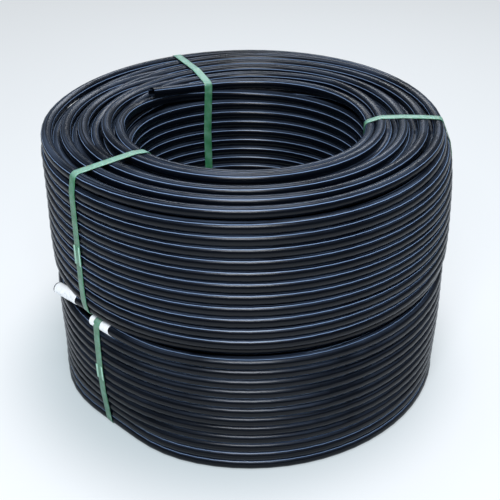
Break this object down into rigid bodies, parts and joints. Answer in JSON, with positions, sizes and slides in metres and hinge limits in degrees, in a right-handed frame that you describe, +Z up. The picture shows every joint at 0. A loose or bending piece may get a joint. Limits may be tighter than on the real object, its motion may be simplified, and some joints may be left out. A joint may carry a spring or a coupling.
{
  "type": "stacked pipe coils",
  "caption": "Black striped polyethylene irrigation pipe in two stacked strapped coils, with taped outer ends and an open inner end; the upper coil lifts off.",
  "frame": {"origin": "on the coils' common axis, at the surface that the lower coil stands on", "axes": "+Z up along the coils' axis; the front of the stack is -Y, with the taped outer ends towards -X and -Y"},
  "size_m": [0.7501, 0.7446, 0.523],
  "materials": {
    "pipe_black": "smooth extruded polyethylene, satin, with thin light-blue stripes",
    "strap_green": "embossed polyester strapping, slightly see-through",
    "tape_white": "wrapped, creased adhesive tape"
  },
  "bodies": {
    "lower_coil": {"lower_coil_core": "pipe_black", "lower_outer_turns": "pipe_black", "lower_outer_end": "pipe_black", "lower_end_tape": "tape_white", "lower_strap_left": "strap_green", "lower_strap_right": "strap_green", "lower_strap_back": "strap_green"},
    "upper_coil": {"upper_coil_core": "pipe_black", "upper_outer_turns": "pipe_black", "upper_outer_end": "pipe_black", "upper_inner_end": "pipe_black", "upper_end_tape": "tape_white", "upper_strap_left": "strap_green", "upper_strap_right": "strap_green", "upper_strap_back": "strap_green"}
  },
  "joints": [
    {"name": "upper_coil_lift", "type": "slide", "parent": "lower_coil", "child": "upper_coil", "axis": [0, 0, 1], "range_m": [0, 0.3]}
  ]
}
